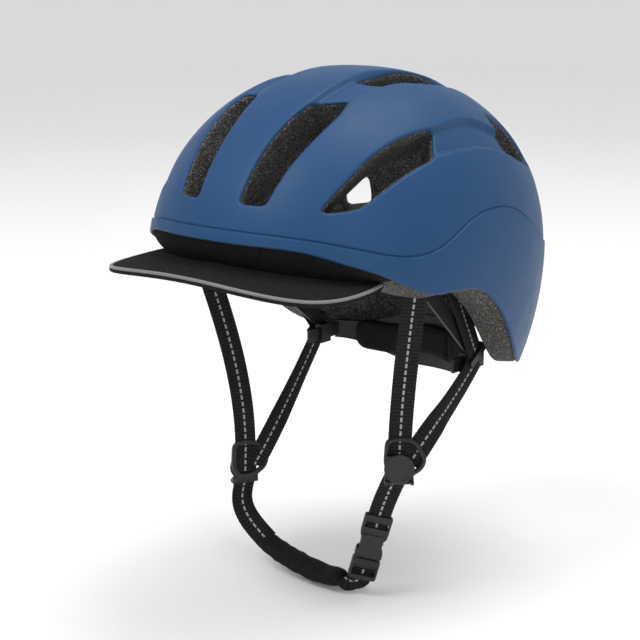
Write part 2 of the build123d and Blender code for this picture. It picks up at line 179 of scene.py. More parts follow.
def nets(grid, field):
    """Quad mesh of the zero level of a field given at the nodes of a lattice, which may be warped."""
    s = field < 0
    nx, ny, nz = field.shape
    count = sum(s[a:nx - 1 + a, b:ny - 1 + b, c:nz - 1 + c].astype(np.int8) for a, b, c in CELL)
    active = (count > 0) & (count < 8)
    i, j, k = np.nonzero(active)
    index = np.full(active.shape, -1)
    index[active] = np.arange(len(i))
    total, hits = np.zeros((len(i), 3)), np.zeros(len(i))
    for a, b in CELL_EDGES:
        na, nb = (i + a[0], j + a[1], k + a[2]), (i + b[0], j + b[1], k + b[2])
        fa, fb = field[na], field[nb]
        cross = (fa < 0) != (fb < 0)
        t = np.where(cross, fa / np.where(cross, fa - fb, 1), 0)[:, None]
        total += np.where(cross[:, None], grid[na] * (1 - t) + grid[nb] * t, 0)
        hits += cross
    quads = []
    for axis in range(3):
        o1, o2 = (axis + 1) % 3, (axis + 2) % 3
        here = [slice(1, -1)] * 3
        here[axis] = slice(0, -1)
        there = list(here)
        there[axis] = slice(1, None)
        at = np.nonzero(s[tuple(here)] != s[tuple(there)])
        node = [a + (0 if n == axis else 1) for n, a in enumerate(at)]
        ring = []
        for b1, b2 in ((1, 1), (0, 1), (0, 0), (1, 0)):
            c = [n.copy() for n in node]
            c[o1] -= b1
            c[o2] -= b2
            ring.append(index[tuple(c)])
        q = np.stack(ring, 1)
        flip = ~s[tuple(node)]
        q[flip] = q[flip][:, ::-1]
        quads.append(q)
    return total / hits[:, None], np.concatenate(quads)


def settle(points, field, reach, rounds=3):
    """Moves points onto the zero level of the field and returns them with the outward normals."""
    e = 0.05
    for _ in range(rounds):
        g = np.stack([field(points + e * axis) - field(points - e * axis) for axis in np.eye(3)], 1) / (2 * e)
        size = np.maximum((g * g).sum(1), 0.05)
        move = g * (field(points) / size)[:, None]
        length = np.linalg.norm(move, axis=1)[:, None] + 1e-9
        points = points - move * np.minimum(1, reach / length)
    return points, g / np.linalg.norm(g, axis=1)[:, None]


def add_mesh(name, points, faces, uv=None, normals=None):
    """Mesh object from millimetre points, smooth shaded."""
    mesh = bpy.data.meshes.new(name)
    faces = faces if isinstance(faces, list) else faces.tolist()
    mesh.from_pydata((np.asarray(points) * MM).tolist(), [], faces)
    mesh.polygons.foreach_set("use_smooth", [True] * len(mesh.polygons))
    if uv is not None:
        layer = mesh.uv_layers.new(name="UVMap")
        loops = np.zeros(len(mesh.loops), np.int32)
        mesh.loops.foreach_get("vertex_index", loops)
        layer.data.foreach_set("uv", np.asarray(uv)[loops].ravel())
    mesh.update()
    if normals is not None:
        mesh.normals_split_custom_set_from_vertices(np.asarray(normals).tolist())
    obj = bpy.data.objects.new(name, mesh)
    bpy.context.scene.collection.objects.link(obj)
    return obj


def carve(name, field, low, high, step, place=None, mirrored=False):
    """Solid of a field on an even lattice. place is (origin, x axis, y axis, z axis) of its own frame."""
    axes = [np.arange(a, b + step, step) for a, b in zip(low, high)]
    if mirrored:
        axes[0] = (np.arange(0, high[0] / step + 2) - 0.5) * step
    grid = np.stack(np.meshgrid(*axes, indexing="ij"), -1)
    values = field(grid.reshape(-1, 3)).reshape(grid.shape[:3])
    points, faces = nets(grid, values)
    points, normals = settle(points, field, step * 0.6)
    if mirrored:
        points, faces, normals = doubled(points, faces, normals, step * 0.3)
    if place is not None:
        turn = np.array(place[1:])
        points, normals = points @ turn + place[0], normals @ turn
    return add_mesh(name, points, faces, normals=normals)


def doubled(points, faces, normals, near):
    """Adds the mirror half across x = 0 and joins the two along it."""
    middle = np.abs(points[:, 0]) < near
    points[middle, 0] = 0
    normals[middle, 0] = 0
    other = np.arange(len(points))
    other[~middle] = len(points) + np.arange((~middle).sum())
    back = np.array([-1.0, 1, 1])
    return (np.concatenate([points, points[~middle] * back]), np.concatenate([faces, other[faces][:, ::-1]]),
            np.concatenate([normals, normals[~middle] * back]))


def box2(u, v, hu, hv, r):
    """Rounded rectangle in a plane."""
    qu, qv = np.abs(u) - hu + r, np.abs(v) - hv + r
    return np.hypot(np.maximum(qu, 0), np.maximum(qv, 0)) + np.minimum(np.maximum(qu, qv), 0) - r


# ------------------------------------------------------------------ shell and liner
def vent_shape(corners):
    at = np.array([spot(*c) for c in corners])
    mid = at.mean(0)
    ez = unit(mid)
    ex = unit(np.cross([0, 1, 0] if abs(ez[1]) < 0.9 else [1, 0, 0], ez))
    ey = np.cross(ez, ex)
    flat = rounded(np.stack([(at - mid) @ ex, (at - mid) @ ey], 1), 3.0, 0.5)
    return mid, ex, ey, ez, flat, np.linalg.norm(flat, axis=1).max()


vent_shapes = [vent_shape(v) for v in VENTS]
duct_shapes = vent_shapes[:5] + [vent_shape(REAR_DUCT)]


def vent_distance(p, foam_only=False):
    """Distance to the nearest vent, sideways; under zero inside one. In the foam the rear ones are pockets."""
    q = p.copy()
    q[:, 0] = np.abs(q[:, 0])
    best = np.full(len(q), 14.0)
    for n, (mid, ex, ey, ez, flat, reach) in enumerate(duct_shapes if foam_only else vent_shapes):
        w = q - mid
        u, v, depth = w @ ex, w @ ey, w @ ez
        close = np.nonzero((np.hypot(u, v) < reach + 14) & (depth > -60))[0]
        away = polygon(u[close], v[close], flat)
        if foam_only and n in (3, 4):
            away = smax(away, -depth[close] - 19, 5)
        best[close] = np.minimum(best[close], away)
    return best


# Sides of the sculpted channels: degrees to the side, at degrees over the crown.
INNER_A = curve([(10, 7), (30, 7.5), (40, 8), (56, 9.5), (75, 10), (92, 10.5), (103, 12), (120, 12),
                 (150, 11), (190, 11)])
INNER_B = curve([(10, 13), (30, 15), (40, 17), (56, 19.5), (65, 20), (74, 21), (82, 22), (92, 23), (103, 24),
                 (120, 22.5), (150, 21), (190, 19)])
OUTER_A = curve([(55, 38), (67, 40), (76, 41.2), (95, 40.6), (115, 40.2), (126, 41), (137, 43),
                 (143, 44.4), (160, 46)])
OUTER_B = curve([(55, 47), (67, 49.2), (82, 51.2), (101, 51.2), (116, 50), (130, 47.6),
                 (143, 45.2), (160, 43)])


def relief(p):
    """Depth of the sculpted channels that run back from the front vents."""
    r = np.linalg.norm(p, axis=1)
    side = np.degrees(np.arcsin(np.clip(np.abs(p[:, 0]) / r, 0, 1)))
    over = np.degrees(np.arctan2(p[:, 2], -p[:, 1]))
    over = np.where(over < -60, over + 360, over)
    a, b = side - INNER_A(over), INNER_B(over) - side
    inner = 3.4 * ease(44, 62, over) * (1 - ease(138, 168, over)) * ease(-0.2, 2.2, a) * ease(-0.2, 1.8, b)
    a, b = side - OUTER_A(over), OUTER_B(over) - side
    outer = 3.2 * ease(62, 74, over) * (1 - ease(126, 146, over)) * ease(-0.1, 1.5, a) * ease(-0.1, 2.0, b)
    return inner + outer


def shell_field(p):
    d = dome(p, SHELL)
    z, lean = belt(p[:, 1])
    low = (z - p[:, 2]) * lean
    proud = 0.9 * ease(-0.15, 0.45, low) - 0.7 * np.exp(-((low + 0.35) / 0.5) ** 2)
    surface = d - proud + relief(p)
    edge, slant = rim(p[:, 1])
    above = (p[:, 2] - edge) * slant
    thick = 2.4 + 1.8 * ease(4, 22, above)
    skin = smax(surface, -(surface + thick), 1.2)
    skin = smax(skin, -above, 1.6)
    return smax(skin, -(vent_distance(p) - 1.3), 2.2)


def liner_field(p):
    d = dome(p, SHELL)
    edge, slant = rim(p[:, 1])
    low, _ = lip(p[:, 1])
    sunk = np.clip((-d - 1.6) / 10.5, 0, 1)
    bottom = ((edge + (low - edge) * sunk) - p[:, 2]) * slant
    body = smax(d + 1.5 + relief(p), bottom, 2.4)
    body = smax(body, -dome(p, BOWL), 4.0)
    return smax(body, -(vent_distance(p, True) - 0.2), 2.2)


def helmet_grid(step, low_layers, high_layers, drop):
    """Half lattice whose layers follow the rim and the belt line, so both stay clean."""
    xs = (np.arange(0, 114 / step + 2) - 0.5) * step
    ys = np.arange(-143, 153, step)
    r, b = rim(ys)[0] - drop, belt(ys)[0]
    low = np.linspace(0, 1, low_layers, endpoint=False)
    layers = [r + (b - 1.8 - r) * t for t in low]
    layers += [b + t for t in (-1.8, -1.2, -0.75, -0.4, -0.1, 0.2, 0.5, 0.85, 1.3, 1.8)]
    layers += [b + 1.8 + (126 - b - 1.8) * t for t in np.linspace(0, 1, high_layers + 1)[1:]]
    z = np.stack(layers, 1)
    grid = np.empty((len(xs), len(ys), z.shape[1], 3))
    grid[..., 0] = xs[:, None, None]
    grid[..., 1] = ys[None, :, None]
    grid[..., 2] = z[None]
    return grid


FAR_OUTSIDE = 20.0


def helmet_piece(name, field, grid, band, reach):
    """Piece of the helmet. Its field is only worked out within the band of depths in the shell's egg."""
    flat = grid.reshape(-1, 3)
    rough = dome(flat, SHELL)
    values = np.full(rough.shape, FAR_OUTSIDE)
    close = (rough > band[0]) & (rough < band[1])
    values[close] = field(flat[close])
    points, faces = nets(grid, values.reshape(grid.shape[:3]))
    points, normals = settle(points, field, reach)
    points, faces, normals = doubled(points, faces, normals, 0.3)
    return add_mesh(name, points, faces, normals=normals)


shell_grid = helmet_grid(1.5, 48, 68, 3)
liner_grid = helmet_grid(2.0, 40, 48, 14)
shell = helmet_piece("shell", shell_field, shell_grid, (-9, 4), 0.9)
liner = helmet_piece("foam_liner", liner_field, liner_grid, (-46, 4), 1.2)


# ------------------------------------------------------------------ ribbons of webbing
def resampled(path, step):
    """Smooth path through the points, at an even step."""
    path = np.array(path, float)
    t = np.concatenate([[0], np.cumsum(np.linalg.norm(np.diff(path, axis=0), axis=1))])
    if len(path) > 2:
        fine = np.linspace(0, t[-1], 400)
        path = np.stack([curve(list(zip(t, path[:, n])))(fine) for n in range(3)], 1)
        t = np.concatenate([[0], np.cumsum(np.linalg.norm(np.diff(path, axis=0), axis=1))])
    s = np.linspace(0, t[-1], max(3, int(t[-1] / step)))
    return np.stack([np.interp(s, t, path[:, n]) for n in range(3)], 1), s


def ribbon(name, path, faces, start=0.0, width=WEB_W, thick=WEB_T):
    """Flat woven strap along a path. faces are the directions its broad side looks, spread along it."""
    points, s = resampled(path, 0.55)
    run = np.gradient(points, axis=0)
    run /= np.linalg.norm(run, axis=1)[:, None]
    knots = np.linspace(0, s[-1], len(faces))
    face = np.stack([np.interp(s, knots, np.array(faces, float)[:, n]) for n in range(3)], 1)
    face -= run * (face * run).sum(1)[:, None]
    face /= np.linalg.norm(face, axis=1)[:, None]
    across = np.cross(face, run)
    half = width / 2
    us = [half * c for c in (-1, -0.985, -0.93, -0.8, -0.55, -0.28, 0, 0.28, 0.55, 0.8, 0.93, 0.985, 1)]
    loop = [(u, 1) for u in us] + [(u, -1) for u in us[-2:0:-1]]
    ribs = np.cos(2 * np.pi * (s + start) / RIB_PITCH)
    rows, uv = [], []
    for u, top in loop:
        edge = abs(u) / half
        h = thick / 2 * (1 - max(0, edge - 0.86) / 0.14) ** 0.5 if edge > 0.86 else thick / 2
        h = h * (0.8 + 0.2 * (edge < 0.8)) - 0.1
        wave = 0.17 * ribs * (1 if edge < 0.9 else 0.4)
        rows.append(points + across * (u + 0.09 * ribs * (edge > 0.9) * np.sign(u))[:, None]
                    + face * (top * (h + wave * (h > 0)))[:, None])
        uv.append(np.stack([(s + start) * 0.01, np.full(len(s), 0.5 + u * 0.01)], 1))
    n, m = len(loop), len(s)
    verts = np.stack(rows, 1).reshape(-1, 3)
    i = np.arange(m - 1)[:, None] * n
    j = np.arange(n)[None]
    quads = np.stack([i + j, i + (j + 1) % n, i + n + (j + 1) % n, i + n + j], -1).reshape(-1, 4)
    obj_faces = quads.tolist() + [list(range(n))[::-1], list(range((m - 1) * n, m * n))]
    return add_mesh(name, verts, obj_faces, uv=np.stack(uv, 1).reshape(-1, 2))


UP = np.array([0.0, 0, 1])
LEFT_FACE, RIGHT_FACE = unit([0.65, -0.76, 0]), unit([-0.88, 0.47, 0])
LEFT_DIVIDER, RIGHT_DIVIDER = np.array([70.0, -31, -121]), np.array([-67.0, -26, -153])


def plane_at(centre, face):
    x = unit(np.cross(UP, face))
    return centre, x, np.cross(face, x), face


LEFT_PLANE, RIGHT_PLANE = plane_at(LEFT_DIVIDER, LEFT_FACE), plane_at(RIGHT_DIVIDER, RIGHT_FACE)
BUCKLE = np.array([41.0, -28, -189])
DOWN = unit([-0.30, 0, -0.954])
FACE = unit(LEFT_FACE - DOWN * (LEFT_FACE @ DOWN))
BUCKLE_PLANE = (BUCKLE, unit(np.cross(-DOWN, FACE)), -DOWN, FACE)


def local(plane, x, y, z=0.0):
    return plane[0] + plane[1] * x + plane[2] * y + plane[3] * z


EXIT_L, EXIT_R = np.array([88.0, -46.5, -10]), np.array([-88.0, -49, -10])
GUIDE, REAR_TOP = np.array([68.2, 50, -70]), np.array([75.5, 10, -12])
GUIDE_RUN = unit(GUIDE - REAR_TOP)
low_l, low_r = local(LEFT_PLANE, -3, 12), local(RIGHT_PLANE, 3, 12)
top_l, top_r = EXIT_L + unit(EXIT_L - low_l) * 17, EXIT_R + unit(EXIT_R - low_r) * 17
straps = {
    "front_strap_left": ribbon("front_webbing_left", [top_l, low_l, local(LEFT_PLANE, -3.6, -9)],
                               [LEFT_FACE, LEFT_FACE]),
    "front_strap_right": ribbon("front_webbing_right", [top_r, low_r, local(RIGHT_PLANE, 3.6, -9)],
                                [RIGHT_FACE, RIGHT_FACE], 1.0),
}
for side, plane, face in ((1, LEFT_PLANE, [0.95, -0.3, 0]), (-1, RIGHT_PLANE, [-1, 0.1, 0])):
    tag = "left" if side == 1 else "right"
    turn = np.array([side, 1.0, 1])
    outward = [side, 0, 0]
    upper_run = [REAR_TOP * turn, (GUIDE + GUIDE_RUN * 3.5) * turn]
    straps[f"rear_strap_upper_{tag}"] = ribbon(f"rear_webbing_top_{tag}", upper_run, [outward, outward], 2.0)
    begin = (GUIDE + GUIDE_RUN * 4.2) * turn
    corner = local(plane, side * 9.5, 7, -0.9)
    goal = local(plane, side * 3.2, -3.5, -0.9)
    mid = (begin + corner) / 2 + np.array([0, 0.8, -1.0])
    straps[f"rear_strap_lower_{tag}"] = ribbon(f"rear_webbing_low_{tag}", [begin, mid, corner, goal],
                                               [outward, face, plane[3], plane[3]], 0.7)
lower_end = local(BUCKLE_PLANE, 0, 12.5)
straps["lower_strap_left"] = ribbon("lower_webbing_left",
                                    [local(LEFT_PLANE, -4, -9), local(BUCKLE_PLANE, 0, 26), lower_end],
                                    [LEFT_FACE, FACE], 0.4)
PAD_PATH = [(19, -28, -217), (2, -28, -219), (-20, -28, -216.5), (-38, -28, -212.5), (-51, -28, -207)]
pad_line, pad_s = resampled(PAD_PATH, 0.6)
pad_end = unit(pad_line[-1] - pad_line[-3])
straps["chin_web"] = ribbon("chin_webbing",
                            [local(BUCKLE_PLANE, 0, -13.5), local(BUCKLE_PLANE, 0, -20),
                             local(BUCKLE_PLANE, -1.0, -26.0), (17, -28, -217)],
                            [FACE, FACE, FACE, UP], 0.2)
straps["lower_strap_right"] = ribbon("lower_webbing_right",
                                     [pad_line[-1] - pad_end * 2.5, local(RIGHT_PLANE, 5.6, -29, 0.6),
                                      local(RIGHT_PLANE, 3.4, -13)],
                                     [RIGHT_FACE, RIGHT_FACE], 1.4)
for name, obj in straps.items():
    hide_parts(name)


# ------------------------------------------------------------------ chin pad: a gathered cloth sleeve over foam
def hashed(*n):
    v = np.sin(n[0] * 127.1 + n[1] * 311.7) * 43758.5453
    return v - np.floor(v)


def wobble(x, y):
    """Smooth repeatable noise from -1 to 1."""
    ix, iy = np.floor(x), np.floor(y)
    fx, fy = x - ix, y - iy
    fx, fy = fx * fx * (3 - 2 * fx), fy * fy * (3 - 2 * fy)
    a = hashed(ix, iy) * (1 - fx) + hashed(ix + 1, iy) * fx
    b = hashed(ix, iy + 1) * (1 - fx) + hashed(ix + 1, iy + 1) * fx
    return 2 * (a * (1 - fy) + b * fy) - 1


def sleeve(name):
    run = np.gradient(pad_line, axis=0)
    run /= np.linalg.norm(run, axis=1)[:, None]
    wide = np.array([0, 1.0, 0])
    high = np.cross(run, wide)
    length, m = pad_s[-1], 72
    phi = np.linspace(0, 2 * np.pi, m, endpoint=False)
    rows = []
    for n, s in enumerate(pad_s):
        end = min(s, length - s)
        close = (1 - (1 - min(end / 5.5, 1)) ** 2) ** 0.5
        belly = 0.93 + 0.07 * math.sin(math.pi * s / length)
        pucker = wobble(s / 4.6 + 0.9 * np.sin(phi * 2), np.cos(phi) * 2.1 + 7 + np.sin(phi) * 1.3)
        fine = wobble(s / 1.9 + 20, phi * 2.6 + 3) * (0.5 + 0.5 * np.cos(phi * 2))
        seam = np.exp(-((np.mod(phi + 0.75 * np.pi, 2 * np.pi) - np.pi) / 0.09) ** 2)
        scale = 1 + 0.075 * pucker + 0.025 * fine - 0.10 * seam
        grow = (0.34 + 0.66 * close) * belly
        sideways = 8.9 * grow * scale * np.sign(np.cos(phi)) * np.abs(np.cos(phi)) ** 0.92
        rows.append(pad_line[n] + wide * sideways[:, None]
                    + high[n] * (6.1 * grow * scale * np.sin(phi))[:, None])
    verts = np.concatenate(rows)
    count = len(pad_s)
    i, j = np.arange(count - 1)[:, None] * m, np.arange(m)[None]
    quads = np.stack([i + j, i + (j + 1) % m, i + m + (j + 1) % m, i + m + j], -1).reshape(-1, 4).tolist()
    first, last = len(verts), len(verts) + 1
    verts = np.concatenate([verts, [pad_line[0] + run[0] * 1.2, pad_line[-1] - run[-1] * 1.2]])
    quads += [[first, (k + 1) % m, k] for k in range(m)]
    quads += [[last, (count - 1) * m + k, (count - 1) * m + (k + 1) % m] for k in range(m)]
    return add_mesh(name, verts, quads)


chin_pad = sleeve("chin_pad_cover")
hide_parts("chin_pad")


# ------------------------------------------------------------------ dividers, their locks and the buckle
DIVIDER = [(-12.5, 13), (-3, 15.5), (8, 12.5), (14.5, 0), (12, -7), (-1, -15.8), (-8, -15), (-13.5, -5)]
plate_shape = rounded(DIVIDER, 5.5, 0.45)
DISC = (-3.4, -5.6)


def slab(outline, low, high, r):
    """Plate of an outline field between two heights, with rounded edges."""
    def field(p):
        a, b = outline(p), np.maximum(low - p[:, 2], p[:, 2] - high)
        u, v = a + r, b + r
        return np.hypot(np.maximum(u, 0), np.maximum(v, 0)) + np.minimum(np.maximum(u, v), 0) - r
    return field


def block(centre, half, r):
    """Rounded box."""
    c, h = np.array(centre, float), np.array(half, float)

    def field(p):
        q = np.abs(p - c) - h + r
        return np.linalg.norm(np.maximum(q, 0), axis=1) + np.minimum(q.max(1), 0) - r
    return field


def divider_field(p):
    edge = polygon(p[:, 0], p[:, 1], plate_shape)
    plate = slab(lambda q: polygon(q[:, 0], q[:, 1], plate_shape), -1.5, 2.0, 1.1)(p)
    window = smax(edge + 3.0, -(p[:, 1] + 9.5), 3.0)
    ring = smax(plate, -window, 0.9)
    foot = block((DISC[0], -13.8, 0.25), (9.4, 2.5, 1.75), 1.0)(p)
    ear_size = (1.2, 1.3, 1.8)
    ears = np.minimum(block((DISC[0] - 8.2, -15, 2.9), ear_size, 0.6)(p),
                      block((DISC[0] + 8.2, -15, 2.9), ear_size, 0.6)(p))
    lip = np.abs(edge + 1.5) - 0.55
    ridge = np.maximum(lip, np.abs(p[:, 2] - 2.0) - 0.35)
    solid = smin(smin(ring, foot, 1.2), ears, 0.8)
    return smin(solid, np.maximum(ridge, -(p[:, 1] + 11)), 0.5)


def lock_field(p):
    x, y = p[:, 0] - DISC[0], p[:, 1] - DISC[1]
    r = np.hypot(x, y)
    dish = 0.35 * ease(8.3, 7.2, r) - 0.12 * ease(6.5, 0, r)
    disc = slab(lambda q: np.hypot(q[:, 0] - DISC[0], q[:, 1] - DISC[1]) - 9.7, 2.35, 4.9, 0.75)(p)
    disc = smax(disc, p[:, 2] - 4.9 + dish, 0.3)
    pin = np.maximum(np.hypot(p[:, 1] + 15, p[:, 2] - 3.3) - 0.95, np.abs(x) - 6.6)
    tab = block((DISC[0] - 6.6, DISC[1] + 7.2, 3.6), (1.8, 1.6, 0.9), 0.6)(p)
    return smin(smin(disc, pin, 0.6), tab, 0.8)


def buckle_female_field(p):
    x, y, z = p.T
    ax = np.abs(x)
    body = block((0, 2, 0), (9.4, 10, 3.95), 2.2)(p)
    body = smax(body, ax - 9.4 + 2.6 * np.exp(-((y - 3.5) / 4.4) ** 2), 1.0)
    body = smax(body, -slab(lambda q: box2(q[:, 0], q[:, 1] + 4, 8.0, 12, 2.0), -2.4, 2.4, 0.6)(p), 0.4)
    side = slab(lambda q: box2(np.abs(q[:, 0]) - 9.6, q[:, 1] - 3.4, 2.6, 5.2, 2.2), -9, 9, 0.2)(p)
    body = smax(body, -side, 0.8)
    bar = block((0, 18, 0), (9.4, 6.9, 2.5), 1.6)(p)
    slot = slab(lambda q: box2(q[:, 0], q[:, 1] - 17.7, 7.9, 2.2, 1.2), -9, 9, 0.2)(p)
    groove = np.abs(y - 11.2) - 0.45
    out = smin(body, smax(bar, -slot, 0.7), 1.6)
    return smax(out, -smax(groove, 2.9 - np.abs(z), 0.3), 0.3)


def buckle_male_field(p):
    x, y, z = p.T
    ax = np.abs(x)
    frame_ = block((0, -16.7, 0), (9.4, 8.2, 3.95), 2.2)(p)
    slot = slab(lambda q: box2(q[:, 0], q[:, 1] + 18.7, 7.8, 2.3, 1.2), -9, 9, 0.2)(p)
    dip = block((0, -14.5, 4.2), (7.9, 2.1, 2.6), 0.8)(p)
    frame_ = smax(smax(frame_, -slot, 0.7), -dip, 0.6)
    grip = np.maximum(np.abs(z) - 4.15, ax - 7.5)
    for at in (-10.2, -11.5):
        frame_ = smin(frame_, np.maximum(grip, np.abs(y - at) - 0.3), 0.4)
    spine = block((0, -1, 0), (1.9, 8, 1.9), 0.8)(p)
    arm = np.linalg.norm(np.maximum(np.abs(np.stack([ax - 6.3, y + 2, z], 1)) - [0.5, 6.6, 1.4], 0), axis=1) - 0.6
    head = np.maximum(np.hypot(ax - 5.7, y - 5) - 1.9, np.abs(z) - 2.0)
    return smin(smin(smin(frame_, spine, 0.8), arm, 0.8), head, 0.6)


def mirror_x(field):
    return lambda p: field(p * [-1, 1, 1])


fine = 0.42
hardware = {}
for tag, plane, turn in (("left", LEFT_PLANE, lambda f: f), ("right", RIGHT_PLANE, mirror_x)):
    hardware[f"divider_{tag}"] = carve(f"strap_divider_{tag}", turn(divider_field),
                                       (-17, -19, -3), (17, 18, 6), fine, plane)
    hardware[f"lock_{tag}"] = carve(f"divider_lock_{tag}", turn(lock_field),
                                    (-16, -18, 1), (16, 7, 6.5), fine, plane)
hardware["buckle_female"] = carve("buckle_socket", buckle_female_field,
                                  (-11, -10, -5), (11, 27, 5), fine, BUCKLE_PLANE)
hardware["buckle_male"] = carve("buckle_tongue", buckle_male_field,
                                (-11, -27, -5), (11, 9, 5), fine, BUCKLE_PLANE)
for name, obj in hardware.items():
    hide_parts(name)


# ------------------------------------------------------------------ comfort pads on the bowl
def pad(name, node, inner, thick, flat, puff, low, high, mirrored=False, grooves=()):
    """Cushion lying on the bowl: flat(p) is the distance inside its outline, seen square on."""
    def field(p):
        d = -dome(p, BOWL) - inner
        rest = -flat(p)
        lift = np.clip(rest / puff, 0, 1)
        crown = 0.22 + 0.78 * np.sqrt(np.maximum(1 - (1 - lift) ** 2, 0))
        for line in grooves:
            crown = crown * (1 - 0.42 * np.exp(-(line(p) / 1.5) ** 2))
        crown = crown * (1 + 0.05 * wobble(p[:, 0] / 7 + p[:, 2] / 9, p[:, 1] / 7 + p[:, 2] / 8))
        return smax(np.maximum(d - thick * crown, 0.1 - d), flat(p), 1.2)

    obj = carve(name, field, low, high, 1.0, mirrored=mirrored)
    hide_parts(node)
    return obj


pads = [
    pad("brow_pad_cover", "brow_pad", 1.9, 5.6, lambda p: box2(np.abs(p[:, 0]), p[:, 2] - 27.5, 57, 8.2, 6),
        6.0, (-62, -118, 17), (62, -48, 38), True, (lambda p: p[:, 2] - 27.5,
                                                    lambda p: np.abs(p[:, 0]) - 28)),
    pad("crown_pad_cover", "crown_pad", 0.4, 5.2, lambda p: box2(p[:, 0], p[:, 1] - 2, 9.2, 65, 8),
        5.0, (-12, -68, 40), (12, 72, 96), True, (lambda p: np.abs(p[:, 1] + 18), lambda p: np.abs(p[:, 1] - 24))),
]
for side, tag in ((1, "left"), (-1, "right")):
    pads.append(pad(f"side_pad_cover_{tag}", f"side_pad_{tag}", 0.4, 5.2,
                    lambda p, side=side: box2(p[:, 0] - 42 * side, p[:, 1] - 6, 6.4, 47, 5.5),
                    4.5, (34 if side == 1 else -50, -44, 40), (50 if side == 1 else -34, 56, 92), False,
                    (lambda p: np.abs(p[:, 1] - 6),)))


def band_pad(name):
    """Cushion strip inside the rear cradle, quilted into three blocks."""
    def field(p):
        r = np.hypot(p[:, 0], p[:, 1] - 14)
        phi = np.degrees(np.arctan2(p[:, 0], p[:, 1] - 14))
        along = phi * math.radians(1) * 77.5
        top = -69.6 + 1.5 * np.cos(along / 9.0)
        flat = box2(along, p[:, 2] - (top - 11.2), 55, 11.0, 8)
        lift = np.clip(-flat / 5.0, 0, 1)
        crown = 0.2 + 0.8 * np.sqrt(np.maximum(1 - (1 - lift) ** 2, 0))
        for seam in (-20, 20):
            crown = crown * (1 - 0.45 * np.exp(-((along - seam) / 1.5) ** 2))
        crown = crown * (1 + 0.05 * wobble(along / 6, p[:, 2] / 6))
        d = 79.5 - r
        return smax(np.maximum(d - 4.6 * crown, 0.1 - d), flat, 1.0)

    obj = carve(name, field, (-60, 50, -96), (60, 96, -64), 1.0, mirrored=True)
    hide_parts("cradle_pad")
    return obj


pads.append(band_pad("cradle_pad_cover"))


# ------------------------------------------------------------------ visor
OUTER = [(86, -76), (88.5, -88), (89.5, -101), (89, -113), (86, -126), (80, -137), (68, -147), (50, -154),
         (22, -157.6)]
OUTER += [(0, -158)] + [(-x, y) for x, y in reversed(OUTER)]
INNER = [(86, -76), (68, -84), (48, -92.4), (25, -105), (0, -109), (-25, -105), (-48, -92.4), (-68, -84),
         (-86, -76)]


def brim_height(x, y):
    return 9 + 0.04 * (y + 120) - 0.0012 * x * x


edge_line, _ = resampled([(x, y, 0) for x, y in OUTER], 1.0)
inner_line, _ = resampled([(x, y, 0) for x, y in INNER], 0.5)
count = len(edge_line)
share = np.linspace(0, 1, count)
inner_share = np.linspace(0, 1, len(inner_line))
inner_line = np.stack([np.interp(share, inner_share, inner_line[:, n]) for n in range(3)], 1)


def brim_half(name, top):
    """One cloth face of the brim: a thin rolled sheet from the tuck to the piping."""
    ts = np.concatenate([np.linspace(0, 0.9, 34), [0.93, 0.955, 0.975, 0.988, 0.996]])
    sheets = []
    for layer in (1, 0):
        rows = []
        for t in ts:
            p = inner_line * (1 - t) + edge_line * t
            x, y = p[:, 0] * (1 - 0.9 / 88), -110 + (p[:, 1] + 110) * (1 - 0.9 / 48)
            reach = np.linalg.norm(edge_line - p, axis=1)
            tip = np.minimum(1, np.linalg.norm(edge_line - inner_line, axis=1) / 14)
            roll = np.sqrt(np.clip(1 - (1 - np.clip(reach / 4.5, 0, 1)) ** 2, 0, 1))
            stitch = np.exp(-((reach - 7.5) / 0.6) ** 2) + 0.8 * np.exp(-((reach - 12.5) / 0.6) ** 2)
            swell = 0.25 * wobble(x / 23 + 5, y / 17 + 2)
            h = (0.9 + 1.3 * roll * (0.4 + 0.6 * tip) - 0.28 * stitch + swell * roll) - (0 if layer else 0.75)
            rows.append(np.stack([x, y, brim_height(x, y) + (h if top else -h)], 1))
        sheets.append(np.stack(rows, 0))
    a, b = len(ts), count
    verts = np.concatenate([s.reshape(-1, 3) for s in sheets])
    i, j = np.arange(a - 1)[:, None] * b, np.arange(b - 1)[None]
    face = np.stack([i + j, i + j + 1, i + b + j + 1, i + b + j], -1).reshape(-1, 4)
    faces = [face[:, ::-1] if not top else face, (face + a * b)[:, ::-1] if top else face + a * b]
    ring = list(range(b)) + [k * b + b - 1 for k in range(1, a)]
    ring += [(a - 1) * b + k for k in range(b - 2, -1, -1)] + [k * b for k in range(a - 2, 0, -1)]
    ring = np.array(ring)
    nxt = np.roll(ring, -1)
    wall = np.stack([ring, ring + a * b, nxt + a * b, nxt], 1)
    faces.append(wall if top else wall[:, ::-1])
    uv = np.concatenate([s[..., :2].reshape(-1, 2) * 0.01 for s in sheets])
    return add_mesh(name, verts, np.concatenate(faces), uv=uv)


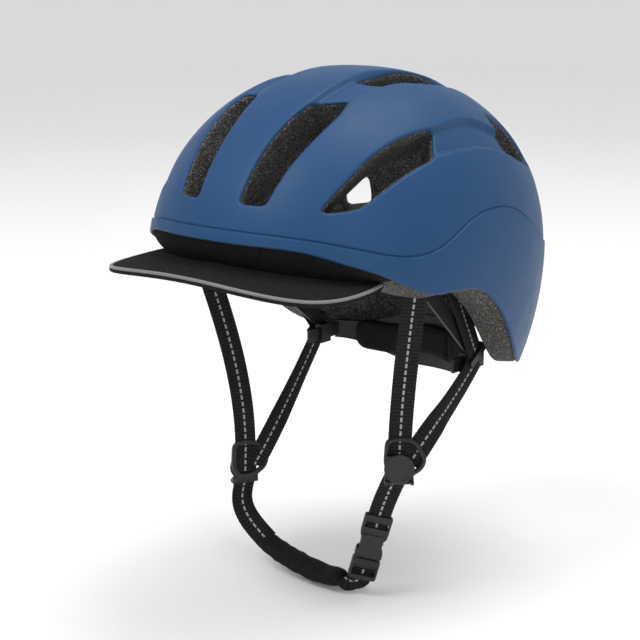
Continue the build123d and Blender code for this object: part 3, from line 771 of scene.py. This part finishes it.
def tube(name, line, radius, sides=14, squash=1.0):
    """Rounded cord along a line in mm, with closed ends."""
    run = np.gradient(line, axis=0)
    run /= np.linalg.norm(run, axis=1)[:, None]
    side = np.cross(UP, run)
    side /= np.linalg.norm(side, axis=1)[:, None]
    high = np.cross(run, side)
    phi = np.linspace(0, 2 * np.pi, sides, endpoint=False)
    s = np.concatenate([[0], np.cumsum(np.linalg.norm(np.diff(line, axis=0), axis=1))])
    taper = np.clip(np.minimum(s, s[-1] - s) / 4, 0.25, 1)
    verts = (line[:, None] + side[:, None] * (radius * taper[:, None] * np.cos(phi))[..., None]
             + high[:, None] * (radius * squash * taper[:, None] * np.sin(phi))[..., None]).reshape(-1, 3)
    n = len(line)
    i, j = np.arange(n - 1)[:, None] * sides, np.arange(sides)[None]
    quads = np.stack([i + j, i + (j + 1) % sides, i + sides + (j + 1) % sides, i + sides + j], -1).reshape(-1, 4)
    caps = [list(range(sides))[::-1], list(range((n - 1) * sides, n * sides))]
    uv = np.stack([np.repeat(s * 0.01, sides), np.tile(phi / (2 * np.pi), n)], 1)
    return add_mesh(name, verts, quads.tolist() + caps, uv=uv)


brim_top, brim_low = brim_half("visor_cloth_top", True), brim_half("visor_cloth_under", False)
rail = edge_line.copy()
rail[:, 2] = brim_height(rail[:, 0], rail[:, 1])
piping = tube("visor_reflective_piping", rail + [0, 0, 0.75], 1.15, 14)
binding = tube("visor_edge_binding", rail + [0, 0, -0.9], 1.25, 14, 1.15)


def shade_strip(name):
    """Dark cloth strip over the gap between the shell's front edge and the brim: painted shade, a dark sheet
    standing in for the shadow there.
    """
    phis = np.radians(np.linspace(-34, 68, 140))
    rows = []
    across = np.linspace(0, 1, 12)
    heading = np.stack([np.sin(phis), -np.cos(phis)], 1)
    low, high = np.full(len(phis), 40.0), np.full(len(phis), 140.0)
    for _ in range(30):
        mid = (low + high) / 2
        y = heading[:, 1] * mid
        p = np.stack([heading[:, 0] * mid, y, rim(y)[0] + 1.2], 1)
        out = dome(p, SHELL) + 1.3 > 0
        high, low = np.where(out, mid, high), np.where(out, low, mid)
    for layer in (0.0, 1.1):
        for t in across:
            r = mid - layer - 9.0 * t ** 1.6
            x, y = heading[:, 0] * r, heading[:, 1] * r
            edge = heading[:, 1] * mid
            top_z, low_z = rim(edge)[0] + 1.2, brim_height(x, y) + 1.4
            rows.append(np.stack([x, y, top_z + (np.minimum(low_z, top_z - 0.5) - top_z) * t], 1))
    b = len(phis)
    verts = np.concatenate(rows)
    order = list(range(12)) + list(range(23, 11, -1))
    faces = []
    for m, n in zip(order, order[1:] + order[:1]):
        k = np.arange(b - 1)
        faces.append(np.stack([m * b + k, m * b + k + 1, n * b + k + 1, n * b + k], 1))
    faces = np.concatenate(faces).tolist()
    faces += [[m * b for m in order], [m * b + b - 1 for m in order][::-1]]
    return add_mesh(name, verts, faces)


# The dark strip made here is painted shade: it stands in for the shadow between the shell's front edge and the
# brim.
front_shade_strip = shade_strip("visor_shade_strip")
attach(front_shade_strip, "helmet")
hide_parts("visor_fabric_top")
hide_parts("visor_fabric_bottom")
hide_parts("visor_piping")
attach(binding, "helmet")
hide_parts("upper_shell", "lower_shell")
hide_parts("eps_liner")


# ------------------------------------------------------------------ materials
class Skin:
    """Procedural material: the numbers that don't vary go straight on the shader's sockets."""

    def __init__(self, name, **sockets):
        self.mat = bpy.data.materials.new(name)
        self.mat.use_nodes = True
        self.tree = self.mat.node_tree
        self.shader = self.tree.nodes["Principled BSDF"]
        for key, value in sockets.items():
            self.shader.inputs[key.replace("_", " ")].default_value = value
        self.where = self.tree.nodes.new("ShaderNodeTexCoord")
        self.place = self.where.outputs["Object"]

    def node(self, kind, out, inputs=(), **settings):
        n = self.tree.nodes.new("ShaderNode" + kind)
        for key, value in settings.items():
            setattr(n, key, value)
        for key, value in dict(inputs).items():
            if isinstance(value, bpy.types.NodeSocket):
                self.tree.links.new(value, n.inputs[key])
            else:
                n.inputs[key].default_value = value
        return n.outputs[out]

    def parts(self, vector):
        """The x, y and z of a vector."""
        n = self.tree.nodes.new("ShaderNodeSeparateXYZ")
        self.tree.links.new(vector, n.inputs[0])
        return n.outputs

    def math(self, op, a, b=0.0, c=0.0):
        return self.node("Math", 0, {0: a, 1: b, 2: c}, operation=op)

    def noise(self, scale, detail=3.0, rough=0.55, at=None):
        inputs = {"Vector": at or self.place, "Scale": scale, "Detail": detail, "Roughness": rough}
        return self.node("TexNoise", "Fac", inputs)

    def cells(self, scale, feature="F1", out="Distance", at=None):
        return self.node("TexVoronoi", out, {"Vector": at or self.place, "Scale": scale}, feature=feature)

    def ramp(self, fac, *stops):
        n = self.tree.nodes.new("ShaderNodeValToRGB")
        while len(n.color_ramp.elements) < len(stops):
            n.color_ramp.elements.new(0.5)
        for e, (at, colour) in zip(n.color_ramp.elements, stops):
            e.position = at
            e.color = (*colour, 1) if isinstance(colour, tuple) else (colour, colour, colour, 1)
        self.tree.links.new(fac, n.inputs[0])
        return n.outputs[0]

    def mix(self, fac, a, b):
        n = self.tree.nodes.new("ShaderNodeMix")
        n.data_type = "RGBA"
        for key, value in ((0, fac), (6, a), (7, b)):
            if isinstance(value, bpy.types.NodeSocket):
                self.tree.links.new(value, n.inputs[key])
            elif key == 0:
                n.inputs[key].default_value = value
            else:
                n.inputs[key].default_value = (*value, 1) if isinstance(value, tuple) else (value,) * 3 + (1,)
        return n.outputs[2]

    def bump(self, height, distance, strength=1.0, normal=None):
        inputs = {"Height": height, "Distance": distance, "Strength": strength}
        if normal:
            inputs["Normal"] = normal
        return self.node("Bump", 0, inputs)

    def use(self, **links):
        for key, value in links.items():
            self.tree.links.new(value, self.shader.inputs[key.replace("_", " ")])
        return self.mat


def blue_shell():
    s = Skin("matte_blue_paint", IOR=1.5, Specular_IOR_Level=0.24)
    wide = s.noise(9, 2)
    base = s.mix(wide, (0.0095, 0.052, 0.140), (0.0120, 0.060, 0.160))
    wear = s.math("MULTIPLY", s.ramp(s.noise(260, 4, 0.7), (0.66, 0.0), (0.74, 1.0)),
                  s.ramp(s.noise(18, 2), (0.55, 0.0), (0.7, 0.35)))
    base = s.mix(wear, base, (0.035, 0.10, 0.22))
    rough = s.ramp(s.noise(60, 4), (0.3, 0.42), (0.7, 0.50))
    fine = s.noise(3200, 2, 0.6)
    soft = s.noise(140, 2)
    return s.use(Base_Color=base, Roughness=rough, Normal=s.bump(fine, 0.00004, 0.5, s.bump(soft, 0.0001, 0.25)))


def bead_foam():
    s = Skin("bead_foam", IOR=1.45, Specular_IOR_Level=0.3)
    tint = s.node("TexVoronoi", "Color", {"Vector": s.place, "Scale": 360.0})
    edge = s.cells(360, "DISTANCE_TO_EDGE")
    bead = s.ramp(edge, (0.0, 0.006), (0.12, 0.030), (0.5, 0.045))
    fleck = s.ramp(s.noise(1150, 2, 0.5), (0.54, 0.0), (0.64, 1.0))
    patch = s.ramp(s.noise(300, 2), (0.35, 0.3), (0.65, 1.0))
    base = s.mix(s.math("MULTIPLY", fleck, patch), bead, (0.33, 0.31, 0.275))
    value = s.node("SeparateColor", 0, {0: tint})
    base = s.mix(s.math("MULTIPLY", value, 0.45), base, (0.05, 0.049, 0.046))
    rough = s.ramp(edge, (0.0, 0.85), (0.3, 0.62))
    return s.use(Base_Color=base, Roughness=rough, Normal=s.bump(edge, 0.0012, 0.55, s.bump(fleck, 0.0001, 0.4)))


def woven_strap():
    s = Skin("ribbed_webbing", IOR=1.45, Specular_IOR_Level=0.22)
    uv = s.parts(s.where.outputs["UV"])
    along = s.math("MULTIPLY", uv[0], 100.0)
    across = s.math("MULTIPLY", s.math("SUBTRACT", uv[1], 0.5), 100.0)
    rib = s.math("COSINE", s.math("MULTIPLY", along, 2 * math.pi / RIB_PITCH))
    yarn = s.math("SINE", s.math("MULTIPLY", across, 2 * math.pi / 0.62))
    fuzz = s.noise(1800, 3, 0.6)
    weave = s.math("ADD", s.math("MULTIPLY", rib, 0.6), s.math("MULTIPLY", yarn, 0.4))
    cloth = s.mix(s.ramp(weave, (0.30, 0.0), (0.85, 1.0)), (0.0035, 0.0035, 0.004), (0.027, 0.027, 0.029))
    cloth = s.mix(s.math("MULTIPLY", fuzz, 0.35), cloth, (0.024, 0.024, 0.026))
    dash = s.math("LESS_THAN", s.math("FRACT", s.math("DIVIDE", along, 4.7)), 0.66)
    line = s.math("LESS_THAN", s.math("ABSOLUTE", across), 0.66)
    on = s.math("MULTIPLY", dash, line)
    base = s.mix(on, cloth, s.mix(fuzz, (0.26, 0.265, 0.27), (0.42, 0.43, 0.44)))
    rough = s.ramp(on, (0.0, 0.78), (1.0, 0.36))
    height = s.math("ADD", weave, s.math("MULTIPLY", on, 1.5))
    return s.use(Base_Color=base, Roughness=rough, Normal=s.bump(height, 0.00016, 0.6, s.bump(fuzz, 0.0001, 0.5)))


def felt():
    s = Skin("black_wool_cloth", IOR=1.4, Specular_IOR_Level=0.12)
    p = s.node("Mapping", 0, {"Vector": s.place, "Scale": (1.0, 1.0, 1.0), "Rotation": (0, 0, 0.78)})
    across = s.parts(p)
    yarn = 2 * math.pi / 0.00095
    warp = s.math("SINE", s.math("MULTIPLY", across[0], yarn))
    weft = s.math("SINE", s.math("MULTIPLY", across[1], yarn))
    weave = s.math("MULTIPLY", warp, weft)
    fuzz, mottle = s.noise(1300, 5, 0.7), s.noise(240, 3)
    base = s.mix(s.ramp(fuzz, (0.38, 0.0), (0.70, 1.0)), (0.0030, 0.0030, 0.0033), (0.030, 0.030, 0.031))
    base = s.mix(s.math("MULTIPLY", mottle, 0.3), base, (0.013, 0.013, 0.014))
    rough = s.ramp(mottle, (0.3, 0.88), (0.7, 0.97))
    return s.use(Base_Color=base, Roughness=rough, Normal=s.bump(weave, 0.00014, 0.45, s.bump(fuzz, 0.0006, 0.6)))


def grey_piping():
    s = Skin("grey_reflective_piping", IOR=1.5)
    uv = s.parts(s.where.outputs["UV"])
    twill = s.math("SINE", s.math("ADD", s.math("MULTIPLY", uv[0], 2 * math.pi / 0.011),
                                  s.math("MULTIPLY", uv[1], 4 * math.pi)))
    grit = s.noise(2600, 2)
    base = s.mix(s.ramp(twill, (0.2, 0.0), (0.8, 1.0)), (0.115, 0.118, 0.122), (0.20, 0.205, 0.21))
    base = s.mix(s.math("MULTIPLY", grit, 0.4), base, (0.27, 0.275, 0.28))
    rough = s.ramp(grit, (0.3, 0.34), (0.7, 0.52))
    return s.use(Base_Color=base, Roughness=rough, Normal=s.bump(twill, 0.00008, 0.5))


def pad_mesh():
    s = Skin("black_pad_knit", IOR=1.4, Specular_IOR_Level=0.2)
    knit = s.cells(900, "F1")
    fuzz = s.noise(1500, 4, 0.65)
    base = s.mix(s.ramp(knit, (0.1, 1.0), (0.6, 0.0)), (0.004, 0.004, 0.0045), (0.018, 0.018, 0.019))
    base = s.mix(s.math("MULTIPLY", fuzz, 0.35), base, (0.026, 0.026, 0.027))
    rough = s.ramp(fuzz, (0.3, 0.8), (0.7, 0.95))
    return s.use(Base_Color=base, Roughness=rough, Normal=s.bump(knit, 0.00035, 0.6, s.bump(fuzz, 0.0004, 0.5)))


def moulded(name, dark, light, rough_low, rough_high):
    s = Skin(name, IOR=1.5, Specular_IOR_Level=0.35)
    grain, wide, scuff = s.noise(1900, 3, 0.6), s.noise(55, 3), s.noise(420, 5, 0.75)
    base = s.mix(wide, dark, light)
    worn = s.math("MULTIPLY", s.ramp(scuff, (0.62, 0.0), (0.75, 1.0)), 0.25)
    base = s.mix(worn, base, tuple(min(1, 3.0 * c) for c in light))
    rough = s.ramp(grain, (0.3, rough_low), (0.7, rough_high))
    return s.use(Base_Color=base, Roughness=rough, Normal=s.bump(grain, 0.00006, 0.5))


paint, foam, web, cloth, pipe, knit = blue_shell(), bead_foam(), woven_strap(), felt(), grey_piping(), pad_mesh()
slate = moulded("slate_acetal", (0.0125, 0.0135, 0.0150), (0.018, 0.0195, 0.0215), 0.32, 0.46)
black = moulded("black_plastic", (0.006, 0.006, 0.0065), (0.010, 0.010, 0.011), 0.38, 0.52)


def dress(obj, mat):
    obj.data.materials.clear()
    obj.data.materials.append(mat)


dress(shell, paint)
dress(liner, foam)
for obj in straps.values():
    dress(obj, web)
for obj in (brim_top, brim_low, binding, front_shade_strip):
    dress(obj, cloth)
dress(piping, pipe)
for obj in [chin_pad] + pads:
    dress(obj, knit)
for obj in hardware.values():
    dress(obj, slate)
shown = ["cradle", "dial_housing", "dial_knob", "height_hanger", "rear_anchor"]
shown += [f"{part}_{side}" for part in ("arm", "temple_peg", "strap_guide", "rear_strap_anchor")
          for side in ("left", "right")]
for name in shown + ["visor_board"]:
    dress(nodes[name], cloth if name == "visor_board" else black)
    soften = nodes[name].modifiers.new("edge", "BEVEL")
    soften.width, soften.segments, soften.angle_limit = 0.00035, 2, math.radians(38)
    soften.use_clamp_overlap = True
    soften.harden_normals = True

# ------------------------------------------------------------------ what each piece moves with
crossing = straps["lower_strap_right"]
piece_body = {"chin_pad_cover": "chin", "chin_webbing": "chin", "cradle_pad_cover": "cradle"}
for obj in [shell, liner, chin_pad, brim_top, brim_low, piping, *pads, *straps.values()]:
    if obj is not crossing:
        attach(obj, piece_body.get(obj.name, "helmet"))
tuple(local(RIGHT_PLANE, 3.4, -18) * MM)
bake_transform(crossing)
hardware_body = {"lock_left": "lock_left", "lock_right": "lock_right", "buckle_male": "chin"}
for name, obj in hardware.items():
    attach(obj, hardware_body.get(name, "helmet"))


# ------------------------------------------------------------------ stage, lights and camera
FLOOR_Z = -227.5
SPOKES = 96
# Radius and height above the floor of each ring; the outer ones rise into a backdrop.
RINGS = [(1400, 0), (2600, 0), (3400, 60), (4000, 300), (4400, 800), (4600, 1600), (4700, 3200)]


def studio_floor():
    turns = [2 * math.pi * k / SPOKES for k in range(SPOKES)]
    points = [(r * math.cos(t), r * math.sin(t), h + FLOOR_Z) for r, h in RINGS for t in turns]
    faces = [list(range(SPOKES))]
    for ring in range(len(RINGS) - 1):
        for k in range(SPOKES):
            a, b = ring * SPOKES + k, ring * SPOKES + (k + 1) % SPOKES
            faces.append([a, a + SPOKES, b + SPOKES, b])
    return add_mesh("studio_floor", points, faces)


floor = studio_floor()
pale = Skin("pale_floor")
dress(floor, pale.use(Base_Color=pale.ramp(pale.noise(3, 2), (0.0, 0.93), (1.0, 0.95)),
                      Roughness=pale.ramp(pale.noise(30, 2), (0.0, 0.7), (1.0, 0.8))))

world = bpy.data.worlds.new("studio")
bpy.context.scene.world = world
world.use_nodes = True
world.node_tree.nodes["Background"].inputs[0].default_value = (1, 1, 1, 1)
world.node_tree.nodes["Background"].inputs[1].default_value = 0.55


def softbox(name, place, aim, size, watts):
    data = bpy.data.lights.new(name, "AREA")
    data.shape, data.size, data.size_y, data.energy = "RECTANGLE", size[0], size[1], watts
    obj = bpy.data.objects.new(name, data)
    obj.location = place
    obj.rotation_euler = (Vector(aim) - Vector(place)).to_track_quat("-Z", "Y").to_euler()
    bpy.context.scene.collection.objects.link(obj)


softbox("key", (-0.5, -1.5, 2.0), (0, 0, 0.0), (1.2, 1.2), 30)
softbox("side", (2.0, -0.9, 1.0), (0, 0, 0.0), (0.8, 1.4), 6)
softbox("top", (0.4, 0.5, 2.2), (0, 0, 0), (1.6, 1.6), 32)

az, el = math.radians(39.5), math.radians(13.9)
right = Vector((math.cos(az), math.sin(az), 0))
back = Vector((math.sin(az) * math.cos(el), -math.cos(az) * math.cos(el), math.sin(el)))
top = back.cross(right)
lens = bpy.data.cameras.new("camera")
lens.sensor_width, lens.lens, lens.clip_start, lens.clip_end = 36, 85.5, 0.05, 30
camera = bpy.data.objects.new("camera", lens)
aim = Matrix((right, top, back)).transposed().to_4x4()
camera.matrix_world = Matrix.Translation(Vector((0.60967, -0.76977, 0.19558))) @ aim
bpy.context.scene.collection.objects.link(camera)
bpy.context.scene.camera = camera
bpy.context.scene.view_settings.view_transform = "Standard"
